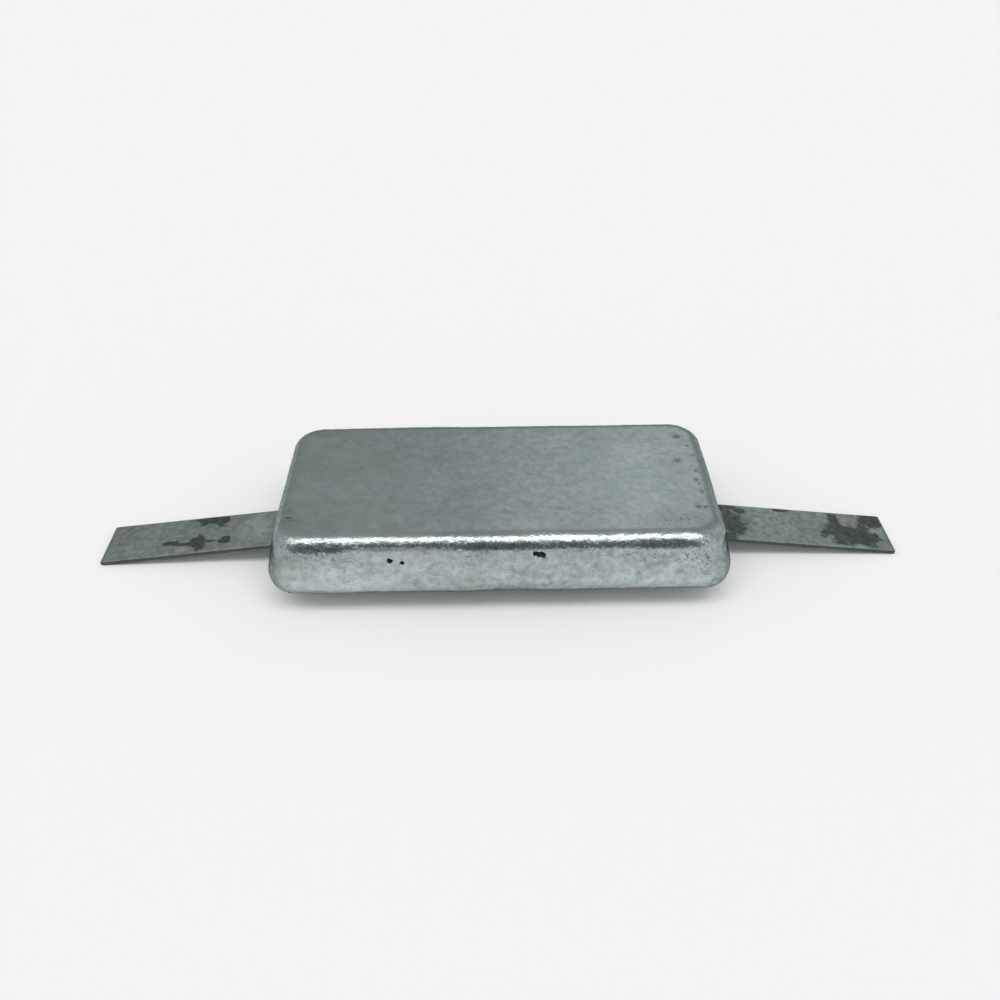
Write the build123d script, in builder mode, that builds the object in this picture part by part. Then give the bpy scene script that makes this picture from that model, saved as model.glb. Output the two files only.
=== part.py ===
from build123d import *
import os
from math import atan2, cos, radians, tan

# Weld-on hull anode: a zinc slab cast round a flat steel bar, whose two ends are welded to the hull.
# The hull is the plane Z = 0. The bar runs along X and its tips touch the hull, so the slab stands off it.
os.makedirs("parts", exist_ok=True)

# Slab, outside sizes in millimetres
slab_length = 300.0
slab_width = 150.0
slab_height = 45.0
wall_draft = 12.0  # degrees that each side wall leans in towards the top
corner_radius = 21.0  # of the leaning edges between the walls
top_edge_radius = 12.0
back_edge_radius = 14.0

# Flat bar
strap_width = 40.0
strap_thickness = 3.0
strap_edge_radius = 0.6  # rolled long edges
bend_radius = 30.0  # at the middle of the bar's thickness

# The bar's course inside the slab
core_run = 160.0  # flat length in the middle of the slab
core_cover = 14.0  # zinc under that flat length
exit_cover = 1.5  # height of the bar's underside above the slab's back where the welding tab starts
exit_clearance = 1.0  # from the slab's end to the bend where the welding tab starts

# Welding tabs, measured on the middle of the bar's thickness
tab_length = 124.0  # along X, from the tab's bend to the tip
tab_drop = 13.8  # how far the tip lies below that bend

# Half lengths along X at which the bar bends and ends
core_end = core_run / 2
tab_bend = slab_length / 2 + exit_clearance
tab_tip = tab_bend + tab_length

# Heights of the middle of the bar's thickness, from the hull up. The tip is cut square to the sloping tab.
half_thickness = strap_thickness / 2
tip_level = half_thickness * cos(atan2(tab_drop, tab_length))
exit_level = tip_level + tab_drop
back_height = exit_level - half_thickness - exit_cover
core_level = back_height + core_cover + half_thickness

# Steel strap: one bar, bent up into the slab and down again to its two welding tabs
with BuildPart() as steel_strap:
    with BuildLine(Plane.XZ) as strap_course:
        FilletPolyline(
            (-tab_tip, tip_level),
            (-tab_bend, exit_level),
            (-core_end, core_level),
            (core_end, core_level),
            (tab_bend, exit_level),
            (tab_tip, tip_level),
            radius=bend_radius,
        )
    course = strap_course.wires()[0]
    with BuildSketch(Plane(origin=course @ 0, x_dir=(0, 1, 0), z_dir=course % 0)):
        RectangleRounded(strap_width, strap_thickness, strap_edge_radius)
    sweep(path=course)

# Zinc casting: its drafted walls would meet the back this far outside the slab's widest outline
draft = radians(wall_draft)
wall_foot = back_edge_radius * (tan(draft) + 1 / cos(draft) - 1)

with BuildPart() as zinc_casting:
    with BuildSketch(Plane.XY.offset(back_height)):
        Rectangle(slab_length + 2 * wall_foot, slab_width + 2 * wall_foot)
    extrude(amount=slab_height, taper=wall_draft)
    fillet(zinc_casting.edges().group_by(Axis.Z)[1], radius=corner_radius)
    fillet(zinc_casting.faces().sort_by(Axis.Z)[-1].edges(), radius=top_edge_radius)
    fillet(zinc_casting.faces().sort_by(Axis.Z)[0].edges(), radius=back_edge_radius)
    add(steel_strap.part, mode=Mode.SUBTRACT)

zinc_casting.part.label = "zinc_casting"
steel_strap.part.label = "steel_strap"

export_step(zinc_casting.part, "parts/zinc_casting.step")
export_step(steel_strap.part, "parts/steel_strap.step")
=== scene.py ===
"""Looks of a weld-on hull anode: an as-cast zinc slab on a weathered galvanised strap.

All sizes are in metres.
"""
from math import atan2, ceil, cos, exp, hypot, pi, radians, sin, tan

import bmesh
import bpy
import numpy as np
from mathutils import Matrix, Vector, kdtree, noise


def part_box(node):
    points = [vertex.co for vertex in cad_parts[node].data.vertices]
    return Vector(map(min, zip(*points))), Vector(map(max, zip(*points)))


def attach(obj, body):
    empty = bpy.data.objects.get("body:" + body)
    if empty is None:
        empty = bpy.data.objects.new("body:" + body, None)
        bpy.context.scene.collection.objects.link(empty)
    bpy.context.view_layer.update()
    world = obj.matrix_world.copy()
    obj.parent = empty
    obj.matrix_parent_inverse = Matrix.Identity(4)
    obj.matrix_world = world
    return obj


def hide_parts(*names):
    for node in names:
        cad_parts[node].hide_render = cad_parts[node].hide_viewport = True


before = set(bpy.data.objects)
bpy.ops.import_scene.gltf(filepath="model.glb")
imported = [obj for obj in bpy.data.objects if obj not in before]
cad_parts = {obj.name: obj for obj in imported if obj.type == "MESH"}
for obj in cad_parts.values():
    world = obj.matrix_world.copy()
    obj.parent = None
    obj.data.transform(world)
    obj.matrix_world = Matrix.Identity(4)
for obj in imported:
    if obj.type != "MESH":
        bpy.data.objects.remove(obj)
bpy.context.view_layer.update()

# Slab and bar, from the frame
slab_low, slab_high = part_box("zinc_casting")
bar_low, bar_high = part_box("steel_strap")
SLAB_HALF_LENGTH = (slab_high[0] - slab_low[0]) / 2
SLAB_HALF_WIDTH = (slab_high[1] - slab_low[1]) / 2
SLAB_HEIGHT = slab_high[2] - slab_low[2]
BACK_HEIGHT = slab_low[2]
TOP_HEIGHT = slab_high[2]
BAR_WIDTH = bar_high[1] - bar_low[1]

# Slab's radii and draft, as the casting has them
WALL_DRAFT = radians(12.0)
CORNER_RADIUS = 0.0205  # seen from above, at every level of the walls
TOP_EDGE_RADIUS = 0.012
BACK_EDGE_RADIUS = 0.014

# The walls, drawn on down to the back, would meet it this far outside the slab's widest outline
WALL_FOOT = BACK_EDGE_RADIUS * (tan(WALL_DRAFT) + 1 / cos(WALL_DRAFT) - 1)

# Middle of the round top edge, above the slab's back and inside the foot of the walls
TOP_EDGE_HEIGHT = SLAB_HEIGHT - TOP_EDGE_RADIUS
TOP_EDGE_INSET = TOP_EDGE_HEIGHT * tan(WALL_DRAFT) + TOP_EDGE_RADIUS / cos(WALL_DRAFT)

# Bar's thickness and course, as the strap has them
BAR_THICKNESS = 0.003
BAR_EDGE_RADIUS = 0.0006
BAR_END_ROUND = 0.0003  # worn edge of the sheared tips
BEND_RADIUS = 0.030
CORE_END = 0.080
EXIT_CLEARANCE = 0.001
TAB_LENGTH = 0.124
TAB_DROP = 0.0138
TAB_BEND = SLAB_HALF_LENGTH + EXIT_CLEARANCE
TAB_TIP = TAB_BEND + TAB_LENGTH
TIP_LEVEL = BAR_THICKNESS / 2 * cos(atan2(TAB_DROP, TAB_LENGTH))
EXIT_LEVEL = TIP_LEVEL + TAB_DROP
CORE_LEVEL = bar_high[2] - BAR_THICKNESS / 2

# Mesh fineness of the slab: steps along each part of its outline and up each part of its section
LONG_STEPS = 244
SHORT_STEPS = 96
ARC_STEPS = 16
BACK_ROUND_STEPS = 14
WALL_STEPS = 20
TOP_ROUND_STEPS = 22
BACK_SHARE = 4  # the flat back has this many times fewer steps
BACK_MARGIN = 0.006  # width of the strip where the steps change
LEAST_CORNER = 0.001
PIT_CUTS = 2  # finer faces round the pits
PIT_MARGIN = 0.0022  # how far outside a pit they reach

# Mesh fineness of the bar
TAB_STEP = 0.0014
CORE_STEP = 0.004  # inside the slab
BAR_SIDE_STEPS = 3
BAR_ARC_STEPS = 4

# Cast skin: (wavelength, height) of its waves, long to short, and how much of them the flat faces have
SKIN_WAVES = ((0.036, 0.00060), (0.0060, 0.00018), (0.0026, 0.00008))
FLAT_SHARE = 0.30
FLAT_SHARPNESS = 8  # how quickly the waves calm down towards a flat face

# Patches of coarser skin: middle, half sizes, and how much more they stand out
COARSE_PATCHES = (
    (Vector((-0.105, -0.073, 0.045)), Vector((0.030, 0.020, 0.007)), 1.2),
    (Vector((0.100, -0.073, 0.044)), Vector((0.040, 0.020, 0.008)), 0.9),
    (Vector((0.128, -0.073, 0.034)), Vector((0.016, 0.020, 0.012)), 1.4),
)

# Zinc that crept along the bar where it leaves the slab
COLLAR_REACH = 0.0035
COLLAR_HEIGHT = 0.0012
COLLAR_RIPPLE = 0.004


def on_front_wall(x, z):
    """The point of the plain front wall at this x and height."""
    return Vector((x, -(SLAB_HALF_WIDTH + WALL_FOOT - (z - BACK_HEIGHT) * tan(WALL_DRAFT)), z))


def on_top(x, y):
    """The point of the plain top at this x and y."""
    return Vector((x, y, TOP_HEIGHT))


def on_front_edge(x, angle=(pi / 2 + WALL_DRAFT) / 2):
    """The point of the front's round top edge at this x.

    The angle says how far up it faces. Unless told, it is the middle of the edge.
    """
    y = TOP_EDGE_INSET - TOP_EDGE_RADIUS * cos(angle) - SLAB_HALF_WIDTH - WALL_FOOT
    return Vector((x, y, BACK_HEIGHT + TOP_EDGE_HEIGHT + TOP_EDGE_RADIUS * sin(angle)))


# Where the top edge at the front is rounder or, with a depth below zero, sharper: middle, half sizes, depth
DENTS = (
    (on_front_edge(-0.108), Vector((0.026, 0.008, 0.008)), 0.00075),
    (on_front_edge(-0.055), Vector((0.026, 0.008, 0.008)), -0.00050),
    (on_front_edge(0.018), Vector((0.030, 0.008, 0.008)), 0.00030),
    (on_front_edge(0.090), Vector((0.040, 0.008, 0.008)), 0.00040),
    (on_front_edge(0.138), Vector((0.011, 0.012, 0.012)), 0.00150),
)

# Darker, bluish streaks: a painted dark reflection of the greyer room in front, along the lower part of that
# edge and on the wall just under it, and darker oxidised patches on the top: middle, half sizes, strength
# How far up the edge faces where the painted dark reflection lies, for its wide and its narrow streaks
DARK_REFLECTION_FACING = radians(32)
NARROW_REFLECTION_FACING = radians(39)
PAINTED_REFLECTION_AND_OXIDE = (
    (on_front_edge(-0.115, DARK_REFLECTION_FACING), Vector((0.021, 0.010, 0.0030)), 1.50),
    (on_front_edge(-0.066, NARROW_REFLECTION_FACING), Vector((0.038, 0.010, 0.0014)), 0.85),
    (on_front_edge(-0.003, DARK_REFLECTION_FACING), Vector((0.034, 0.010, 0.0027)), 1.20),
    (on_front_edge(0.057, DARK_REFLECTION_FACING), Vector((0.034, 0.010, 0.0023)), 0.80),
    (on_front_edge(0.106, DARK_REFLECTION_FACING), Vector((0.025, 0.010, 0.0028)), 1.25),
    (on_top(0.113, -0.052), Vector((0.016, 0.004, 0.004)), 0.42),
    (on_top(-0.133, -0.046), Vector((0.008, 0.007, 0.004)), 0.45),
    (on_front_wall(0.126, 0.0400), Vector((0.015, 0.020, 0.0090)), 0.38),
    (on_front_wall(0.092, 0.0445), Vector((0.022, 0.020, 0.0030)), 0.34),
    (on_front_wall(-0.112, 0.0450), Vector((0.022, 0.020, 0.0040)), 0.38),
    (on_front_wall(-0.020, 0.0440), Vector((0.020, 0.020, 0.0035)), 0.32),
)

# Blow holes: place, radius, depth
BLOW_HOLES = (
    (on_front_wall(-0.0692, 0.0428), 0.0019, 0.0030),
    (on_front_wall(-0.0612, 0.0413), 0.0015, 0.0026),
    (on_front_wall(0.0226, 0.0462), 0.0019, 0.0028),
    (on_front_wall(0.0246, 0.0452), 0.0020, 0.0028),
    (on_front_wall(0.0272, 0.0452), 0.0021, 0.0030),
    (on_front_wall(-0.1084, 0.0215), 0.0013, 0.0014),
)

# Shallow pits on the top, most of them in a row near the right end: place, radius, depth
SHALLOW_PITS = (
    (on_top(0.1277, 0.0460), 0.0040, 0.00008),
    (on_top(0.1237, 0.0154), 0.0040, 0.00008),
    (on_top(0.1347, 0.0029), 0.0026, 0.00006),
    (on_top(0.1329, -0.0077), 0.0024, 0.00006),
    (on_top(0.1341, -0.0124), 0.0020, 0.00005),
    (on_top(0.1345, -0.0216), 0.0020, 0.00005),
    (on_top(0.1290, -0.0381), 0.0028, 0.00007),
    (on_top(0.1342, -0.0383), 0.0024, 0.00006),
    (on_top(0.1355, 0.0215), 0.0022, 0.00005),
    (on_top(0.1337, 0.0340), 0.0018, 0.00005),
    (on_top(-0.1347, -0.0448), 0.0024, 0.00006),
    (on_top(-0.1347, -0.0362), 0.0030, 0.00006),
)

# Both kinds of pit: how dark they are, how ragged their rims are, and the wavelength of that raggedness
PIT_KINDS = (
    (BLOW_HOLES, 1.0, 0.5, 0.0018),
    (SHALLOW_PITS, 0.42, 1.2, 0.0013),
)
PIT_REACH = 1.6  # how far from a pit's middle its rim can be, in radii
PIT_RIM = 1.15  # where its wall starts, in radii
PIT_WALL = 0.7  # how wide its wall is, in radii

# Soft stains and painted light on the casting: stains and smudges, painted shade on the end walls, the upper
# corners and the upper front wall, painted sheen on the top, and painted sheen and shade on the right end's
# round edge: middle, half sizes, and how much lighter or darker
STAINS_AND_PAINTED_LIGHT = (
    (Vector((-0.005, -0.076, 0.020)), Vector((0.045, 0.020, 0.008)), -0.18),
    (Vector((-0.105, -0.076, 0.022)), Vector((0.045, 0.020, 0.014)), 0.20),
    (Vector((0.110, -0.076, 0.022)), Vector((0.040, 0.020, 0.014)), 0.08),
    (Vector((0.125, -0.050, 0.057)), Vector((0.020, 0.020, 0.010)), -0.10),
    (Vector((-0.060, 0.020, 0.057)), Vector((0.060, 0.050, 0.010)), -0.03),
    # Painted sheen: the top lighter towards its right, and a little towards its left
    (Vector((0.100, 0.000, 0.057)), Vector((0.060, 0.070, 0.010)), 0.17),
    (Vector((-0.110, 0.000, 0.057)), Vector((0.050, 0.070, 0.010)), 0.10),
    # Painted shade along the upper front wall, under the round edge
    (Vector((0.000, -0.071, 0.046)), Vector((0.200, 0.020, 0.006)), -0.10),
    # Painted shade: darker end walls and darker upper corners
    (Vector((-0.150, 0.005, 0.042)), Vector((0.008, 0.075, 0.020)), -0.34),
    (Vector((0.150, 0.005, 0.042)), Vector((0.008, 0.075, 0.020)), -0.34),
    (Vector((-0.147, -0.070, 0.038)), Vector((0.011, 0.012, 0.017)), -0.40),
    (Vector((0.147, -0.070, 0.038)), Vector((0.011, 0.012, 0.017)), -0.40),
    # Painted sheen and shade on the right end's round top edge
    (Vector((0.1380, 0.005, 0.057)), Vector((0.003, 0.058, 0.006)), 0.15),
    (Vector((0.1445, 0.005, 0.052)), Vector((0.004, 0.060, 0.006)), -0.16),
    (Vector((0.000, 0.062, 0.057)), Vector((0.120, 0.012, 0.010)), -0.07),
    (on_front_wall(-0.0868, 0.0408), Vector((0.0022, 0.010, 0.0022)), -0.25),
)

# Dark patches on the upper side of the welding tabs: x, y and half sizes along them
TAB_PATCHES = (
    (-0.1950, 0.0140, 0.0050, 0.0080),
    (-0.2050, 0.0160, 0.0100, 0.0050),
    (-0.2089, -0.0090, 0.0058, 0.0080),
    (-0.2180, -0.0090, 0.0080, 0.0018),
    (-0.2290, -0.0065, 0.0060, 0.0025),
    (-0.1897, -0.0085, 0.0038, 0.0042),
    (-0.2010, -0.0085, 0.0040, 0.0014),
    (0.1640, -0.0020, 0.0085, 0.0130),
    (0.1595, -0.0165, 0.0055, 0.0040),
    (0.1570, 0.0165, 0.0110, 0.0040),
    (0.1715, 0.0140, 0.0045, 0.0035),
    (0.2020, 0.0180, 0.0060, 0.0025),
    (0.2490, -0.0055, 0.0200, 0.0120),
    (0.2300, -0.0045, 0.0050, 0.0030),
    (0.2395, 0.0100, 0.0045, 0.0080),
    (0.2660, 0.0130, 0.0100, 0.0080),
)

# Pale islands among them, and paler metal near the slab
TAB_ISLANDS = (
    (-0.2168, -0.0155, 0.0060, 0.0030),
    (-0.1700, 0.0000, 0.0130, 0.0150),
    (0.2480, 0.0120, 0.0050, 0.0055),
    (0.2720, -0.0040, 0.0035, 0.0035),
    (0.2705, -0.0150, 0.0055, 0.0040),
    (0.2520, -0.0175, 0.0020, 0.0015),
)
ISLAND_STRENGTH = 1.2
ISLAND_EDGE = 0.3  # an island starts where a point is this close to it

# Levels between which most of a noise's values lie
NOISE_LOW = 0.3
NOISE_HIGH = 0.7

# Sizes of the marks on the zinc
CLOUD_SIZE = 0.050
PATCH_SIZE = 0.024
FLOW_SIZE = 0.013
BLOTCH_SIZE = 0.0085
MOTTLE_SIZE = 0.0042
GRAIN_SIZE = 0.0016

# Colours of the zinc
ZINC_DULL = (0.380, 0.442, 0.432)
ZINC_PALE = (0.442, 0.497, 0.501)
# Darkest and palest colours of the painted dark reflection and the oxidised patches
REFLECTION_OXIDE_DARK = (0.070, 0.080, 0.098)
REFLECTION_OXIDE_PALE = (0.165, 0.182, 0.205)
ZINC_GLOSS = (0.40, 0.44, 0.44, 1.0)

# Warm, violet and teal tints: colour, size and roughness of the noise, levels where the tint starts and
# is full, and its amount
ZINC_TINTS = (
    ((0.44, 0.43, 0.405), 0.035, 0.5, 0.56, 0.75, 0.35),
    ((0.42, 0.44, 0.475), 0.012, 0.6, 0.54, 0.72, 0.35),
    ((0.36, 0.47, 0.47), 0.016, 0.6, 0.55, 0.72, 0.40),
)

# How ragged the painted dark reflection and the oxidised patches are, by mottle and by grain, where they
# start and are full, and how well they cover
REFLECTION_OXIDE_RAGGEDNESS = 0.14
REFLECTION_OXIDE_SPECKLE = 0.34
REFLECTION_OXIDE_START = 0.35
REFLECTION_OXIDE_FULL = 0.80
REFLECTION_OXIDE_COVER = 0.90
REFLECTION_OXIDE_GRAIN = (0.38, 0.62)  # levels of the grain between its two colours

# How far up or down a face looks where it starts to be flat, and where it is
FLAT_FACING = (0.80, 0.98)

# Strength of the marks on the sides and on the flat faces, and how bright they leave the zinc
BLOTCH_SHARES = (0.78, 0.36)
BLOTCH_STRETCH = (0.75, 1.0, 1.0)
MOTTLE_SHARES = (0.85, 0.40)
GRIT_SHARES = (1.0, 0.30)
GRIT_BRIGHTNESS = 0.74
GRIT_GRAIN = (0.58, 0.68)  # levels of the grain where grit starts and is full
GRIT_PATCHES = (0.40, 0.60)  # levels of the patches where it is full and ends
FLOW_LINE_WIDTH = 0.022
FLOW_LINE_BRIGHTNESS = 0.90
FLOW_LINE_PATCHES = (0.46, 0.62)  # levels of the patches where lines start and are full
PIT_BRIGHTNESS = 0.17
PIT_COLOURED = (0.10, 0.80)  # how deep in a pit its colour starts and is full

# Gloss of the zinc, and the fine relief on the sides and on the flat faces
ZINC_ROUGHNESS = (0.30, 0.18)
PIT_ROUGHNESS = 0.5
PIT_ROUGHENED = (0.1, 0.6)  # how deep in a pit its roughness starts and is full
MOTTLE_HEIGHTS = (0.00040, 0.00008)
GRAIN_HEIGHTS = (0.00008, 0.00003)
FLOW_LINE_DEPTHS = (0.00010, 0.0)

# Sizes of the marks on the bar
COAT_CLOUD_SIZE = 0.022
COAT_EDGE_SIZE = 0.0065
COAT_SPANGLE_SIZE = 0.0042
COAT_CRUMB_SIZE = 0.0040

# Colours of the bar's weathered coat
COAT_DULL = (0.256, 0.306, 0.300)
COAT_PALE = (0.336, 0.388, 0.377)
TAB_PATCH_DARK = (0.066, 0.085, 0.083)
TAB_PATCH_PALE = (0.118, 0.141, 0.136)
# Painted shade on the bar's thin sides, and rust with painted shade on its sheared tips
SIDE_SHADE_AND_TIP_RUST = (0.055, 0.065, 0.064)  # of the bar's thin sides and sheared tips
SIDE_SHADE_COVER = 0.92
SIDE_SHADE_FACING = (0.60, 0.96)  # how far up or down a thin side looks at most, and a flat side at least

# Strength of its marks
COAT_CRUMB_BRIGHTNESS = (0.76, 1.22)
COAT_CRUMB_LEVELS = (0.25, 0.75)  # of the noise, at those two brightnesses
COAT_SPANGLE = 0.08
ISLAND_BRIGHTNESS = 0.26
ISLAND_FULL = -0.60  # the stain's value where an island is palest
TAB_PATCH_RAGGEDNESS = 0.24
TAB_PATCH_EDGE_LEVELS = (0.2, 0.8)  # of the noise that makes the edges ragged
TAB_PATCH_START = 0.39
TAB_PATCH_FULL = 0.58
# Where the sheared tips darken with rust and painted shade, and how much
SHEAR_START = TAB_TIP - 0.0016
SHEAR_FULL = TAB_TIP - 0.0006
TIP_RUST_AND_SHADE_COVER = 0.80

# Gloss of the bar, and its fine relief
COAT_METALLIC = 0.9
COAT_ROUGHNESS = (0.46, 0.34)
COAT_CRUMB_HEIGHT = 0.00030
TAB_PATCH_DEPTH = 0.00012

# Floor
PAPER_COLOUR = (0.97, 0.97, 0.97, 1.0)
PAPER_ROUGHNESS = 0.9
FLOOR_HALF = 40.0

# Camera
CAMERA_ELEVATION = radians(36.10)
CAMERA_YAW = radians(-0.567)
CAMERA_ROLL = radians(-0.473)
CAMERA_DISTANCE = 0.7023
CAMERA_TARGET = Vector((0.0012, 0.0, 0.0369))
CAMERA_NEAREST = 0.01
SENSOR_WIDTH = 36.0
FOCAL_SHARE = 1.021  # focal length as a share of the picture's width

# A row of soft lamps overhead
LAMP_SPREAD = radians(21.0)  # how wide each lamp looks from the object
LAMP_TILT = radians(18.0)  # towards the front
LAMP_LEANS = tuple(map(radians, (-30, -20, -10, 0, 10, 20, 30)))  # from left to right
LAMP_STRENGTH = 0.180
LAMP_DISTANCE = 2.0

# Room round the stage
ROOM_BEHIND = (0.405, 0.405, 0.40)
ROOM_WINDOW = (0.68, 0.69, 0.71)  # a paler part of the wall behind
ROOM_SIDE = (0.68, 0.68, 0.68)
ROOM_FRONT = (0.95, 0.95, 0.95)
ROOM_SHADE = (0.45, 0.45, 0.47)  # a greyer part straight in front of the object

# Middle of the paler part: degrees to the right of straight behind, and above the floor
WINDOW_TOWARDS = (16, 36)

# Where those parts of the room start and are full, as cosines of the angle from their middles
WINDOW_EDGE = (0.93, 0.998)
SIDE_EDGE = (0.62, 0.92)
FRONT_EDGE = (0.0, 0.5)
SHADE_SIDE_EDGE = (0.25, 0.75)
SHADE_UPPER_EDGE = (0.68, 0.82)


# Node graphs

class Graph:
    """Makes the nodes of one material or world.

    A value or colour is an output socket, or a plain number or tuple.
    """

    def __init__(self, tree):
        self.tree = tree

    def add(self, kind, **properties):
        node = self.tree.nodes.new(kind)
        for name, value in properties.items():
            setattr(node, name, value)
        return node

    def feed(self, socket, value):
        if isinstance(value, bpy.types.NodeSocket):
            self.tree.links.new(value, socket)
        elif isinstance(value, tuple) and socket.type == "RGBA":
            socket.default_value = (*value, 1.0)
        else:
            socket.default_value = value

    def surface(self):
        """The place and the normal of the surface, on the piece itself."""
        coordinates = self.add("ShaderNodeTexCoord")
        return coordinates.outputs["Object"], coordinates.outputs["Normal"]

    def noise(self, place, wavelength, detail=2.0, roughness=0.5, distortion=0.0):
        node = self.add("ShaderNodeTexNoise")
        self.feed(node.inputs["Vector"], place)
        self.feed(node.inputs["Scale"], 1.0 / wavelength)
        self.feed(node.inputs["Detail"], detail)
        self.feed(node.inputs["Roughness"], roughness)
        self.feed(node.inputs["Distortion"], distortion)
        return node.outputs["Fac"]

    def cell_chance(self, place, size):
        """One chance value in each cell of about this size."""
        node = self.add("ShaderNodeTexVoronoi")
        self.feed(node.inputs["Vector"], place)
        self.feed(node.inputs["Scale"], 1.0 / size)
        split = self.add("ShaderNodeSeparateColor")
        self.feed(split.inputs["Color"], node.outputs["Color"])
        return split.outputs["Red"]

    def stretch(self, place, factors):
        node = self.add("ShaderNodeMapping")
        self.feed(node.inputs["Vector"], place)
        self.feed(node.inputs["Scale"], factors)
        return node.outputs["Vector"]

    def attribute(self, name):
        return self.add("ShaderNodeAttribute", attribute_name=name).outputs["Fac"]

    def math(self, operation, first, second=0.0):
        node = self.add("ShaderNodeMath", operation=operation)
        self.feed(node.inputs[0], first)
        self.feed(node.inputs[1], second)
        return node.outputs["Value"]

    def swing(self, value, share):
        """A noise's value about its middle, times a share."""
        return self.math("MULTIPLY", share, self.math("SUBTRACT", value, 0.5))

    def dot(self, vector, direction):
        node = self.add("ShaderNodeVectorMath", operation="DOT_PRODUCT")
        self.feed(node.inputs[0], vector)
        self.feed(node.inputs[1], direction)
        return node.outputs["Value"]

    def along(self, vector, direction):
        """How far a vector goes along a direction, either way."""
        return self.math("ABSOLUTE", self.dot(vector, direction))

    def span(self, value, low, high, to_low=0.0, to_high=1.0):
        """Maps low..high to to_low..to_high, eased and held at both ends."""
        node = self.add("ShaderNodeMapRange", interpolation_type="SMOOTHSTEP")
        self.feed(node.inputs["Value"], value)
        self.feed(node.inputs["From Min"], low)
        self.feed(node.inputs["From Max"], high)
        self.feed(node.inputs["To Min"], to_low)
        self.feed(node.inputs["To Max"], to_high)
        return node.outputs["Result"]

    def ease(self, share, at_none, at_full):
        """Goes from one value to another with a share from 0 to 1."""
        return self.span(share, 0.0, 1.0, at_none, at_full)

    def mix(self, amount, first, second):
        node = self.add("ShaderNodeMix", data_type="RGBA")
        sockets = {socket.identifier: socket for socket in node.inputs}
        self.feed(sockets["Factor_Float"], amount)
        self.feed(sockets["A_Color"], first)
        self.feed(sockets["B_Color"], second)
        return next(socket for socket in node.outputs if socket.identifier == "Result_Color")

    def brighten(self, colour, factor):
        node = self.add("ShaderNodeHueSaturation")
        self.feed(node.inputs["Color"], colour)
        self.feed(node.inputs["Value"], factor)
        return node.outputs["Color"]

    def bump(self, height, distance, below=None):
        node = self.add("ShaderNodeBump")
        self.feed(node.inputs["Height"], height)
        self.feed(node.inputs["Distance"], distance)
        self.feed(node.inputs["Strength"], 1.0)
        if below is not None:
            self.feed(node.inputs["Normal"], below)
        return node.outputs["Normal"]


X_AXIS = (1.0, 0.0, 0.0)
Z_AXIS = (0.0, 0.0, 1.0)


def new_material(name):
    """A material, its graph and its shader's inputs."""
    material = bpy.data.materials.new(name)
    material.use_nodes = True
    shader = material.node_tree.nodes["Principled BSDF"]
    return material, Graph(material.node_tree), shader.inputs


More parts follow.
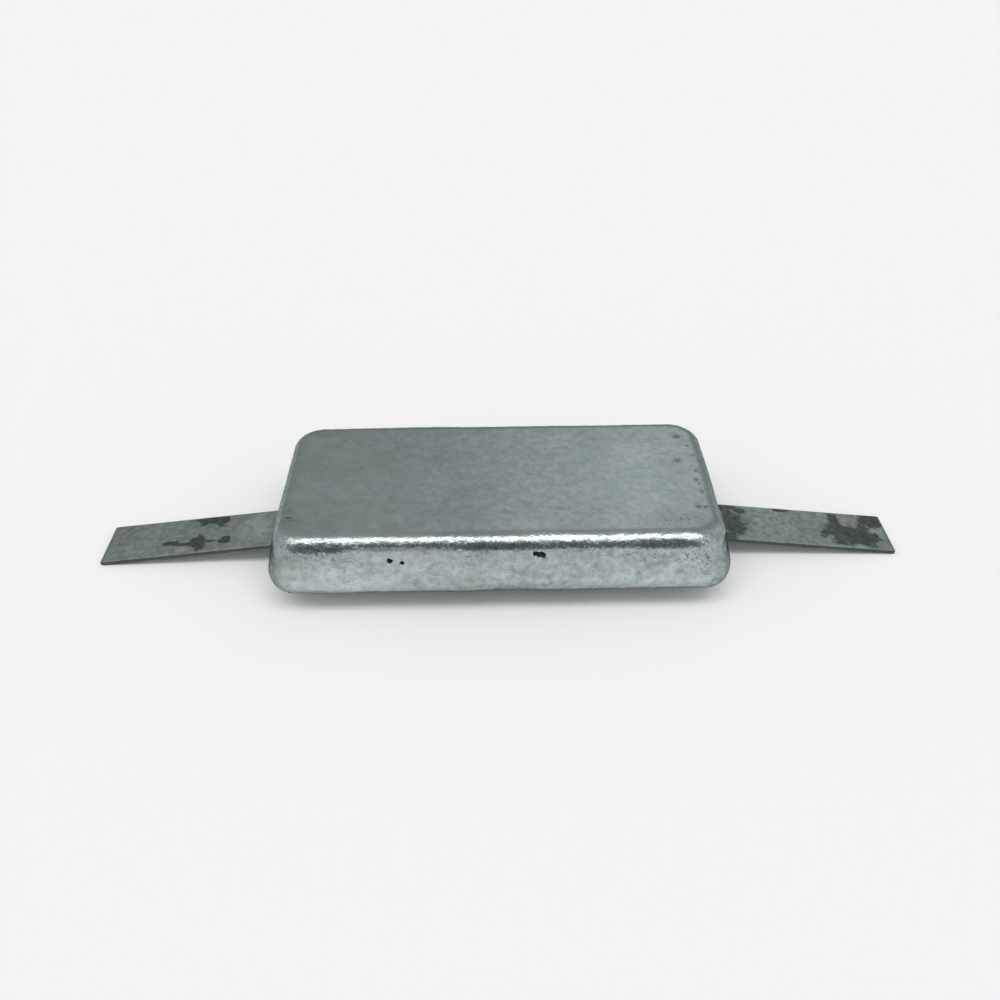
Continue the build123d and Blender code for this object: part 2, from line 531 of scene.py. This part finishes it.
class CastSkin:
    """The noises and marks that the colour, gloss and relief of the zinc share."""

    def __init__(self, graph):
        self.graph = graph
        self.place, normal = graph.surface()
        self.flatness = graph.span(graph.along(normal, Z_AXIS), *FLAT_FACING)
        self.mottle = graph.noise(self.place, MOTTLE_SIZE, detail=3.0, roughness=0.6)
        self.grain = graph.noise(self.place, GRAIN_SIZE, roughness=0.6)
        self.patch = graph.noise(self.place, PATCH_SIZE)
        self.pit = graph.attribute("pit")
        self.flow_line = self.make_flow_line()

    def make_flow_line(self):
        """Thin lines where the metal flowed together, in some patches only."""
        graph = self.graph
        flow = graph.noise(self.place, FLOW_SIZE, distortion=2.2)
        off_line = graph.math("ABSOLUTE", graph.math("SUBTRACT", flow, 0.5))
        line = graph.span(off_line, 0.0, FLOW_LINE_WIDTH, 1.0, 0.0)
        return graph.math("MULTIPLY", line, graph.span(self.patch, *FLOW_LINE_PATCHES))

    def by_face(self, values):
        """Goes from the value for the sides to the one for the flat faces."""
        return self.graph.ease(self.flatness, *values)

    def colour(self):
        """Clouds, tints, and the darker streaks: a painted dark reflection along the front edge, and oxidised
        patches.
        """
        graph = self.graph
        cloud = graph.noise(self.place, CLOUD_SIZE, detail=4.0, roughness=0.55, distortion=0.6)
        colour = graph.mix(graph.span(cloud, NOISE_LOW, NOISE_HIGH), ZINC_DULL, ZINC_PALE)
        for tint, size, roughness, start, full, amount in ZINC_TINTS:
            tint_noise = graph.noise(self.place, size, detail=3.0, roughness=roughness)
            colour = graph.mix(graph.span(tint_noise, start, full, 0.0, amount), colour, tint)
        # Painted dark reflection with oxidised patches, made ragged by mottle and grain
        ragged = graph.span(self.mottle, NOISE_LOW, NOISE_HIGH, -REFLECTION_OXIDE_RAGGEDNESS, REFLECTION_OXIDE_RAGGEDNESS)
        speckle = graph.span(self.grain, NOISE_LOW, NOISE_HIGH, -REFLECTION_OXIDE_SPECKLE, REFLECTION_OXIDE_SPECKLE)
        painted_reflection_and_oxide = graph.math("ADD", graph.attribute("painted_reflection_and_oxide"), ragged)
        painted_reflection_and_oxide = graph.math("ADD", painted_reflection_and_oxide, speckle)
        reflection_oxide_colour = graph.mix(graph.span(self.grain, *REFLECTION_OXIDE_GRAIN), REFLECTION_OXIDE_DARK, REFLECTION_OXIDE_PALE)
        return graph.mix(graph.span(painted_reflection_and_oxide, REFLECTION_OXIDE_START, REFLECTION_OXIDE_FULL, 0.0, REFLECTION_OXIDE_COVER), colour, reflection_oxide_colour)

    def brightness(self):
        """Stains with painted shade and sheen, blotches, mottle, flow lines, grit and pits, as a factor on
        the colour.
        """
        graph = self.graph
        stretched = graph.stretch(self.place, BLOTCH_STRETCH)
        blotch = graph.noise(stretched, BLOTCH_SIZE, detail=3.0, roughness=0.55, distortion=0.7)
        factor = graph.math("ADD", graph.attribute("tone_and_painted_light"), 1.0)
        factor = graph.math("ADD", factor, graph.swing(blotch, self.by_face(BLOTCH_SHARES)))
        factor = graph.math("ADD", factor, graph.swing(self.mottle, self.by_face(MOTTLE_SHARES)))
        factor = graph.math("MULTIPLY", factor, graph.ease(self.flow_line, 1.0, FLOW_LINE_BRIGHTNESS))
        between = graph.span(self.patch, *GRIT_PATCHES, 1.0, 0.0)
        grit = graph.math("MULTIPLY", graph.span(self.grain, *GRIT_GRAIN), between)
        grit = graph.math("MULTIPLY", grit, self.by_face(GRIT_SHARES))
        factor = graph.math("MULTIPLY", factor, graph.ease(grit, 1.0, GRIT_BRIGHTNESS))
        return graph.math("MULTIPLY", factor, graph.span(self.pit, *PIT_COLOURED, 1.0, PIT_BRIGHTNESS))

    def roughness(self):
        graph = self.graph
        rough = graph.span(self.mottle, NOISE_LOW, NOISE_HIGH, *ZINC_ROUGHNESS)
        return graph.math("ADD", rough, graph.span(self.pit, *PIT_ROUGHENED, 0.0, PIT_ROUGHNESS))

    def relief(self):
        graph = self.graph
        coarse = graph.math("ADD", graph.attribute("coarse"), 1.0)
        relief = graph.bump(self.mottle, graph.math("MULTIPLY", coarse, self.by_face(MOTTLE_HEIGHTS)))
        relief = graph.bump(self.grain, self.by_face(GRAIN_HEIGHTS), relief)
        return graph.bump(graph.ease(self.flow_line, 1.0, 0.0), self.by_face(FLOW_LINE_DEPTHS), relief)


def cast_zinc():
    material, graph, shader = new_material("cast_zinc")
    skin = CastSkin(graph)
    graph.feed(shader["Base Color"], graph.brighten(skin.colour(), skin.brightness()))
    graph.feed(shader["Roughness"], skin.roughness())
    graph.feed(shader["Normal"], skin.relief())
    shader["Metallic"].default_value = 1.0
    shader["Specular Tint"].default_value = ZINC_GLOSS
    return material


def galvanised_steel():
    material, graph, shader = new_material("galvanised_steel")
    place, normal = graph.surface()
    crumb = graph.noise(place, COAT_CRUMB_SIZE, detail=3.0, roughness=0.65, distortion=0.3)
    stain = graph.attribute("stain")

    # Bright coat, paler on the islands
    cloud = graph.noise(place, COAT_CLOUD_SIZE, detail=4.0, roughness=0.6, distortion=0.8)
    spangle = graph.ease(graph.cell_chance(place, COAT_SPANGLE_SIZE), -COAT_SPANGLE, COAT_SPANGLE)
    factor = graph.math("ADD", graph.span(crumb, *COAT_CRUMB_LEVELS, *COAT_CRUMB_BRIGHTNESS), spangle)
    factor = graph.math("ADD", factor, graph.span(stain, ISLAND_FULL, 0.0, ISLAND_BRIGHTNESS, 0.0))
    colour = graph.mix(graph.span(cloud, NOISE_LOW, NOISE_HIGH), COAT_DULL, COAT_PALE)
    colour = graph.brighten(colour, factor)

    # Dark patches with ragged edges
    edge_noise = graph.noise(place, COAT_EDGE_SIZE, detail=5.0, roughness=0.65)
    ragged = graph.span(edge_noise, *TAB_PATCH_EDGE_LEVELS, -TAB_PATCH_RAGGEDNESS, TAB_PATCH_RAGGEDNESS)
    stained = graph.span(graph.math("ADD", stain, ragged), TAB_PATCH_START, TAB_PATCH_FULL)
    patch_colour = graph.mix(graph.span(crumb, NOISE_LOW, NOISE_HIGH), TAB_PATCH_DARK, TAB_PATCH_PALE)
    colour = graph.mix(stained, colour, patch_colour)

    # Painted shade on the thin sides, and darker rust with painted shade on the sheared tips
    shaded_thin_side = graph.span(graph.along(normal, Z_AXIS), *SIDE_SHADE_FACING, SIDE_SHADE_COVER, 0.0)
    colour = graph.mix(shaded_thin_side, colour, SIDE_SHADE_AND_TIP_RUST)
    sheared = graph.span(graph.along(place, X_AXIS), SHEAR_START, SHEAR_FULL, 0.0, TIP_RUST_AND_SHADE_COVER)
    colour = graph.mix(sheared, colour, SIDE_SHADE_AND_TIP_RUST)
    graph.feed(shader["Base Color"], colour)

    graph.feed(shader["Roughness"], graph.span(crumb, NOISE_LOW, NOISE_HIGH, *COAT_ROUGHNESS))
    relief = graph.bump(crumb, COAT_CRUMB_HEIGHT)
    relief = graph.bump(graph.ease(stained, 1.0, 0.0), TAB_PATCH_DEPTH, relief)
    graph.feed(shader["Normal"], relief)
    shader["Metallic"].default_value = COAT_METALLIC
    return material


def floor_paper():
    material, _, shader = new_material("floor_paper")
    shader["Base Color"].default_value = PAPER_COLOUR
    shader["Roughness"].default_value = PAPER_ROUGHNESS
    shader["Specular IOR Level"].default_value = 0.0
    return material


# Meshes

def add_mesh(name, points, faces, material):
    mesh = bpy.data.meshes.new(name)
    plain_points = [tuple(map(float, point)) for point in points]
    plain_faces = [tuple(map(int, face)) for face in faces]
    mesh.from_pydata(plain_points, [], plain_faces)
    mesh.materials.append(material)
    mesh.shade_smooth()
    piece = bpy.data.objects.new(name, mesh)
    bpy.context.collection.objects.link(piece)
    return piece


def set_attribute(mesh, name, values):
    mesh.attributes.new(name, "FLOAT", "POINT").data.foreach_set("value", values)


# Casting

def outline_sides(inset, height, share=1):
    """The slab's rounded outline at an inset from the foot of its walls and a height above its back.

    It is four sides, each from one corner's middle to the next: front, right, back and left. Where the edge
    rounds bring the outline in, its corners tighten. A share of 4 gives four times fewer steps.
    """
    brought_in = inset - height * tan(WALL_DRAFT)
    radius = max(CORNER_RADIUS - brought_in, LEAST_CORNER)
    centre_x = SLAB_HALF_LENGTH + WALL_FOOT - inset - radius
    centre_y = SLAB_HALF_WIDTH + WALL_FOOT - inset - radius
    corners = np.array([(-1, -1), (1, -1), (1, 1), (-1, 1)]) * (centre_x, centre_y)
    sides = []
    for side in range(4):
        start, end = corners[side], corners[(side + 1) % 4]
        steps = (LONG_STEPS if side % 2 == 0 else SHORT_STEPS) // share
        turn = radians(270 + 90 * side)
        first = turn + np.linspace(-pi / 4, 0, ARC_STEPS // share + 1)[:-1]
        last = turn + np.linspace(0, pi / 4, ARC_STEPS // share + 1)
        straight = start + (end - start) * np.linspace(0, 1, steps + 1)[:, None]
        straight = straight + radius * np.array([cos(turn), sin(turn)])
        points = [
            start + radius * np.stack([np.cos(first), np.sin(first)], 1),
            straight[:-1],
            end + radius * np.stack([np.cos(last), np.sin(last)], 1),
        ]
        sides.append(np.vstack(points))
    return sides


def ring_of(sides, height):
    """The points once round an outline, at a height above the slab's back."""
    ring = np.vstack([side[:-1] for side in sides])
    return np.column_stack([ring, np.full(len(ring), BACK_HEIGHT + height)])


def section_line():
    """(inset, height) up the slab's section, from the edge of its flat back to the edge of its flat top."""
    back_inset = BACK_EDGE_RADIUS * (tan(WALL_DRAFT) + 1 / cos(WALL_DRAFT))
    back_round = [
        (back_inset - BACK_EDGE_RADIUS * cos(angle), BACK_EDGE_RADIUS * (1 + sin(angle)))
        for angle in np.linspace(-pi / 2, WALL_DRAFT, BACK_ROUND_STEPS + 1)
    ]
    top_round = [
        (TOP_EDGE_INSET - TOP_EDGE_RADIUS * cos(angle), TOP_EDGE_HEIGHT + TOP_EDGE_RADIUS * sin(angle))
        for angle in np.linspace(WALL_DRAFT, pi / 2, TOP_ROUND_STEPS + 1)
    ]
    low, high = back_round[-1], top_round[0]
    wall = [
        (low[0] + (high[0] - low[0]) * share, low[1] + (high[1] - low[1]) * share)
        for share in np.linspace(0, 1, WALL_STEPS + 1)[1:-1]
    ]
    return back_round + wall + top_round


def spread(sides):
    """A grid of points over a flat face, from its four sides. Rows run from front to back."""
    front, right, back, left = sides[0], sides[1], sides[2][::-1], sides[3][::-1]
    across = np.linspace(0, 1, len(front))[None, :, None]
    along = np.linspace(0, 1, len(right))[:, None, None]
    corners = ((1 - across) * (1 - along) * front[0] + across * (1 - along) * front[-1]
               + (1 - across) * along * back[0] + across * along * back[-1])
    return ((1 - along) * front[None] + along * back[None]
            + (1 - across) * left[:, None] + across * right[:, None] - corners)


def fill_face(points, faces, first, sides, height):
    """Fills a flat face, whose outline's points start at first, with a grid of quads."""
    columns, rows = len(sides[0]) - 1, len(sides[1]) - 1
    count = 2 * (columns + rows)
    index = np.zeros((rows + 1, columns + 1), int)
    index[0, :] = first + np.arange(columns + 1)
    index[:, -1] = first + columns + np.arange(rows + 1)
    index[-1, ::-1] = first + columns + rows + np.arange(columns + 1)
    index[::-1, 0] = first + (2 * columns + rows + np.arange(rows + 1)) % count
    inner = np.arange((rows - 1) * (columns - 1)).reshape(rows - 1, columns - 1)
    index[1:-1, 1:-1] = len(points) + inner
    for place in spread(sides)[1:-1, 1:-1].reshape(-1, 2):
        points.append((*place, BACK_HEIGHT + height))
    for row in range(rows):
        for column in range(columns):
            faces.append((index[row, column], index[row, column + 1],
                          index[row + 1, column + 1], index[row + 1, column]))


def join_coarse_ring(faces, fine_first, fine_count, coarse_first):
    """Joins a ring to one with BACK_SHARE times fewer points: a fan of triangles from each coarse point."""
    coarse_count = fine_count // BACK_SHARE
    half = BACK_SHARE // 2
    for step in range(coarse_count):
        here = coarse_first + step
        following = coarse_first + (step + 1) % coarse_count
        fine = [fine_first + (step * BACK_SHARE + offset) % fine_count for offset in range(BACK_SHARE + 1)]
        for offset in range(half):
            faces.append((fine[offset], here, fine[offset + 1]))
        faces.append((fine[half], here, following))
        for offset in range(half, BACK_SHARE):
            faces.append((fine[offset], following, fine[offset + 1]))


def slab_mesh():
    """The plain slab: rings of quads up its sides, a fine grid on its top and a coarse one on its back."""
    line = section_line()
    rings = [ring_of(outline_sides(inset, height), height) for inset, height in line]
    count = len(rings[0])
    points = [tuple(point) for ring in rings for point in ring]
    faces = []
    for level in range(len(rings) - 1):
        low, high = level * count, (level + 1) * count
        for step in range(count):
            after = (step + 1) % count
            faces.append((low + step, low + after, high + after, high + step))
    top_inset, top_height = line[-1]
    fill_face(points, faces, (len(rings) - 1) * count, outline_sides(top_inset, top_height), top_height)
    back_inset = line[0][0] + BACK_MARGIN
    coarse_sides = outline_sides(back_inset, 0.0, BACK_SHARE)
    coarse_first = len(points)
    points.extend(tuple(point) for point in ring_of(coarse_sides, 0.0))
    join_coarse_ring(faces, 0, count, coarse_first)
    fill_face(points, faces, coarse_first, coarse_sides, 0.0)
    return points, faces


def vertex_tree(points):
    tree = kdtree.KDTree(len(points))
    for index, point in enumerate(points):
        tree.insert(point, index)
    tree.balance()
    return tree


def refine_round_pits(mesh):
    """Cuts the faces round each pit finer, turns all faces outwards and gives back each point's normal."""
    form = bmesh.new()
    form.from_mesh(mesh)
    form.verts.ensure_lookup_table()
    tree = vertex_tree([vertex.co for vertex in form.verts])
    near = set()
    for place, radius, _ in BLOW_HOLES + SHALLOW_PITS:
        near.update(index for _, index, _ in tree.find_range(place, radius + PIT_MARGIN))
    edges = [edge for edge in form.edges if edge.verts[0].index in near and edge.verts[1].index in near]
    bmesh.ops.subdivide_edges(form, edges=edges, cuts=PIT_CUTS, use_grid_fill=True)
    bmesh.ops.recalc_face_normals(form, faces=form.faces)
    form.normal_update()
    normals = [vertex.normal.copy() for vertex in form.verts]
    form.to_mesh(mesh)
    form.free()
    return normals


def nearness(point, middle, sizes):
    """1 at the middle of a soft patch, falling to 0 well outside its half sizes."""
    offset = point - middle
    return exp(-sum((offset[axis] / sizes[axis]) ** 2 for axis in range(3)))


def patch_sum(point, patches):
    """What all the soft patches add up to at a point."""
    return sum(strength * nearness(point, middle, sizes) for middle, sizes, strength in patches)


def skin_height(point, normal, coarse):
    """How far the cast skin stands out of the plain slab. The flat top and back are calmer than the sides."""
    share = 1 - (1 - FLAT_SHARE) * abs(normal.z) ** FLAT_SHARPNESS
    waves = [noise.noise(point / wavelength) * height for wavelength, height in SKIN_WAVES]
    return share * (waves[0] + (1 + coarse) * sum(waves[1:]))


def collar_height(point):
    """Zinc that crept a little way out along the bar."""
    if abs(point.x) < SLAB_HALF_LENGTH - BACK_EDGE_RADIUS:
        return 0.0
    beside = max(abs(point.y) - BAR_WIDTH / 2, 0.0)
    above = max(abs(point.z - EXIT_LEVEL) - BAR_THICKNESS / 2, 0.0)
    share = max(1 - hypot(beside, above) / COLLAR_REACH, 0.0)
    return COLLAR_HEIGHT * share ** 2 * (1 + noise.noise(point / COLLAR_RIPPLE))


def pit_share(outside):
    """How far a point lies inside a pit, from 0 to 1, by its distance from the pit's middle in radii."""
    share = min(max((PIT_RIM - outside) / PIT_WALL, 0.0), 1.0)
    return share * share * (3 - 2 * share)


def pit_depths(points):
    """Each point's depth under the skin, and how dark the pit makes it, from 0 to 1."""
    depths = np.zeros(len(points))
    darkening = np.zeros(len(points))
    tree = vertex_tree(points)
    for pits, darkness, raggedness, ripple in PIT_KINDS:
        for place, radius, depth in pits:
            for point, index, distance in tree.find_range(place, radius * PIT_REACH):
                ragged = distance / radius * (1 + raggedness * noise.noise(point / ripple))
                share = pit_share(ragged)
                depths[index] = max(depths[index], share * depth)
                darkening[index] = max(darkening[index], share * darkness)
    return depths, darkening


def make_casting():
    piece = add_mesh("cast_slab", *slab_mesh(), cast_zinc())
    mesh = piece.data
    normals = refine_round_pits(mesh)
    points = [vertex.co.copy() for vertex in mesh.vertices]
    depths, darkening = pit_depths(points)
    coarse = [patch_sum(point, COARSE_PATCHES) for point in points]
    for vertex, point, normal, depth, coarseness in zip(mesh.vertices, points, normals, depths, coarse):
        out = skin_height(point, normal, coarseness) + collar_height(point) - patch_sum(point, DENTS) - depth
        vertex.co = point + normal * out
    mesh.shade_smooth()
    set_attribute(mesh, "pit", darkening)
    set_attribute(mesh, "coarse", coarse)
    # Stains, with painted shade and sheen
    set_attribute(mesh, "tone_and_painted_light", [patch_sum(point, STAINS_AND_PAINTED_LIGHT) for point in points])
    # Painted dark reflection of the room in front, and oxidised patches
    set_attribute(mesh, "painted_reflection_and_oxide", [patch_sum(point, PAINTED_REFLECTION_AND_OXIDE) for point in points])
    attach(piece, "root")
    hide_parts("zinc_casting")


# Strap

def bar_course():
    """Points along the middle of the bar's thickness, in X and Z: straight runs and bends cut across."""
    right_half = ((CORE_END, CORE_LEVEL), (TAB_BEND, EXIT_LEVEL), (TAB_TIP, TIP_LEVEL))
    left_half = [(-x, z) for x, z in reversed(right_half)]
    corners = [Vector(corner) for corner in (*left_half, *right_half)]
    stations = [corners[0]]
    for before, corner, after in zip(corners, corners[1:], corners[2:]):
        inward, outward = (corner - before).normalized(), (after - corner).normalized()
        reach = BEND_RADIUS * tan(inward.angle(outward) / 2)
        stations += [corner - inward * reach, corner + outward * reach]
    stations.append(corners[-1])
    points = [stations[0]]
    for start, end in zip(stations, stations[1:]):
        seen = abs(start.x + end.x) / 2 > SLAB_HALF_LENGTH - BACK_EDGE_RADIUS
        pieces = max(1, ceil((end - start).length / (TAB_STEP if seen else CORE_STEP)))
        points += [start.lerp(end, (index + 1) / pieces) for index in range(pieces)]
    return points


def bar_section(inset=0.0):
    """The bar's section as (across, up) points: flat faces with rolled edges."""
    reach, rise = BAR_WIDTH / 2 - BAR_EDGE_RADIUS, BAR_THICKNESS / 2 - BAR_EDGE_RADIUS
    radius = BAR_EDGE_RADIUS - inset
    centres = [Vector(centre) for centre in ((reach, rise), (-reach, rise), (-reach, -rise), (reach, -rise))]
    flat_steps = ceil(BAR_WIDTH / TAB_STEP)
    points = []
    for side, centre in enumerate(centres):
        angles = [radians(90 * side + 90 * index / BAR_ARC_STEPS) for index in range(BAR_ARC_STEPS + 1)]
        arc = [centre + radius * Vector((cos(angle), sin(angle))) for angle in angles]
        target = centres[(side + 1) % 4] + radius * Vector((cos(angles[-1]), sin(angles[-1])))
        steps = flat_steps if side % 2 == 0 else BAR_SIDE_STEPS
        points += arc + [arc[-1].lerp(target, index / steps) for index in range(1, steps)]
    return points


def closest(x, y, patches):
    """How close a point is to the nearest of these patches: 1 in its middle, one half at its edge."""
    return max(1 - hypot((x - middle_x) / half_x, (y - middle_y) / half_y) / 2
               for middle_x, middle_y, half_x, half_y in patches)


def stain_share(x, y):
    """How dark the upper side of a tab is.

    It is over one half inside a patch, under it outside, and below 0 on an island.
    """
    dark = max(closest(x, y, TAB_PATCHES), 0.0)
    pale = max(closest(x, y, TAB_ISLANDS) - ISLAND_EDGE, 0.0)
    return dark - ISLAND_STRENGTH * pale


def sweep_bar(course):
    """The bar's points, section by section, and how stained each of them is."""
    section, end_section = bar_section(), bar_section(BAR_END_ROUND)
    last = len(course) - 1
    points, stains = [], []
    for index, place in enumerate(course):
        along = (course[min(index + 1, last)] - course[max(index - 1, 0)]).normalized()
        up = Vector((-along.y, along.x))
        for across, height in end_section if index in (0, last) else section:
            points.append(Vector((place.x + up.x * height, across, place.y + up.y * height)))
            stains.append(stain_share(place.x, across) if height > 0 else 0.0)
    return points, stains


def bar_faces(last, count):
    """Quads between the sections, from the first to the last, and a face on each sheared tip."""
    faces = []
    for level in range(last):
        low, high = level * count, (level + 1) * count
        for step in range(count):
            following = (step + 1) % count
            faces.append((low + step, high + step, high + following, low + following))
    faces.append(range(count))
    faces.append(reversed(range(last * count, (last + 1) * count)))
    return faces


def make_strap():
    course = bar_course()
    points, stains = sweep_bar(course)
    faces = bar_faces(len(course) - 1, len(points) // len(course))
    piece = add_mesh("strap_bar", points, faces, galvanised_steel())
    for polygon in piece.data.polygons[-2:]:
        polygon.use_smooth = False
    set_attribute(piece.data, "stain", stains)
    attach(piece, "root")
    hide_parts("steel_strap")


# Stage

def towards(azimuth, elevation):
    """A direction, by degrees to the right of straight behind the object and above the floor."""
    azimuth, elevation = radians(azimuth), radians(elevation)
    return sin(azimuth) * cos(elevation), cos(azimuth) * cos(elevation), sin(elevation)


def add_camera():
    back = Vector((sin(CAMERA_YAW) * cos(CAMERA_ELEVATION), -cos(CAMERA_YAW) * cos(CAMERA_ELEVATION),
                   sin(CAMERA_ELEVATION)))
    level = Vector((cos(CAMERA_YAW), sin(CAMERA_YAW), 0.0))
    upright = back.cross(level)
    right = cos(CAMERA_ROLL) * level + sin(CAMERA_ROLL) * upright
    up = -sin(CAMERA_ROLL) * level + cos(CAMERA_ROLL) * upright
    lens = bpy.data.cameras.new("camera")
    lens.sensor_fit = "HORIZONTAL"
    lens.sensor_width = SENSOR_WIDTH
    lens.lens = FOCAL_SHARE * SENSOR_WIDTH
    lens.clip_start = CAMERA_NEAREST
    camera = bpy.data.objects.new("camera", lens)
    place = Matrix((right, up, back)).transposed().to_4x4()
    place.translation = CAMERA_TARGET + back * CAMERA_DISTANCE
    camera.matrix_world = place
    bpy.context.collection.objects.link(camera)
    bpy.context.scene.camera = camera


def add_floor():
    corners = [(x * FLOOR_HALF, y * FLOOR_HALF, 0.0) for x, y in ((-1, -1), (1, -1), (1, 1), (-1, 1))]
    floor = add_mesh("floor", corners, [(0, 1, 2, 3)], floor_paper())


def add_overhead_lamps():
    for lean in LAMP_LEANS:
        lamp = bpy.data.lights.new("overhead_lamp", "SUN")
        lamp.angle = LAMP_SPREAD
        lamp.energy = LAMP_STRENGTH
        light = bpy.data.objects.new("overhead_lamp", lamp)
        direction = Vector((sin(lean), -sin(LAMP_TILT) * cos(lean), cos(LAMP_TILT) * cos(lean)))
        light.location = LAMP_DISTANCE * direction
        light.rotation_euler = direction.to_track_quat("Z", "Y").to_euler()
        bpy.context.collection.objects.link(light)


def add_room():
    """The room round the stage: pale, with a greyer wall behind and a greyer part straight in front."""
    world = bpy.data.worlds.new("room")
    world.use_nodes = True
    bpy.context.scene.world = world
    graph = Graph(world.node_tree)
    direction = graph.add("ShaderNodeTexCoord").outputs["Generated"]
    window = graph.span(graph.dot(direction, towards(*WINDOW_TOWARDS)), *WINDOW_EDGE)
    colour = graph.mix(window, ROOM_BEHIND, ROOM_WINDOW)
    aside = graph.along(direction, towards(90, 0))
    colour = graph.mix(graph.span(aside, *SIDE_EDGE), colour, ROOM_SIDE)
    front = graph.span(graph.dot(direction, towards(180, 0)), *FRONT_EDGE)
    colour = graph.mix(front, colour, ROOM_FRONT)
    upwards = graph.dot(direction, towards(0, 90))
    shade = graph.math("MULTIPLY", front, graph.span(aside, *SHADE_SIDE_EDGE, 1.0, 0.0))
    shade = graph.math("MULTIPLY", shade, graph.span(upwards, *SHADE_UPPER_EDGE, 1.0, 0.0))
    colour = graph.mix(shade, colour, ROOM_SHADE)
    graph.feed(world.node_tree.nodes["Background"].inputs["Color"], colour)


make_casting()
make_strap()
add_floor()
add_overhead_lamps()
add_room()
add_camera()
bpy.context.scene.view_settings.view_transform = "Standard"
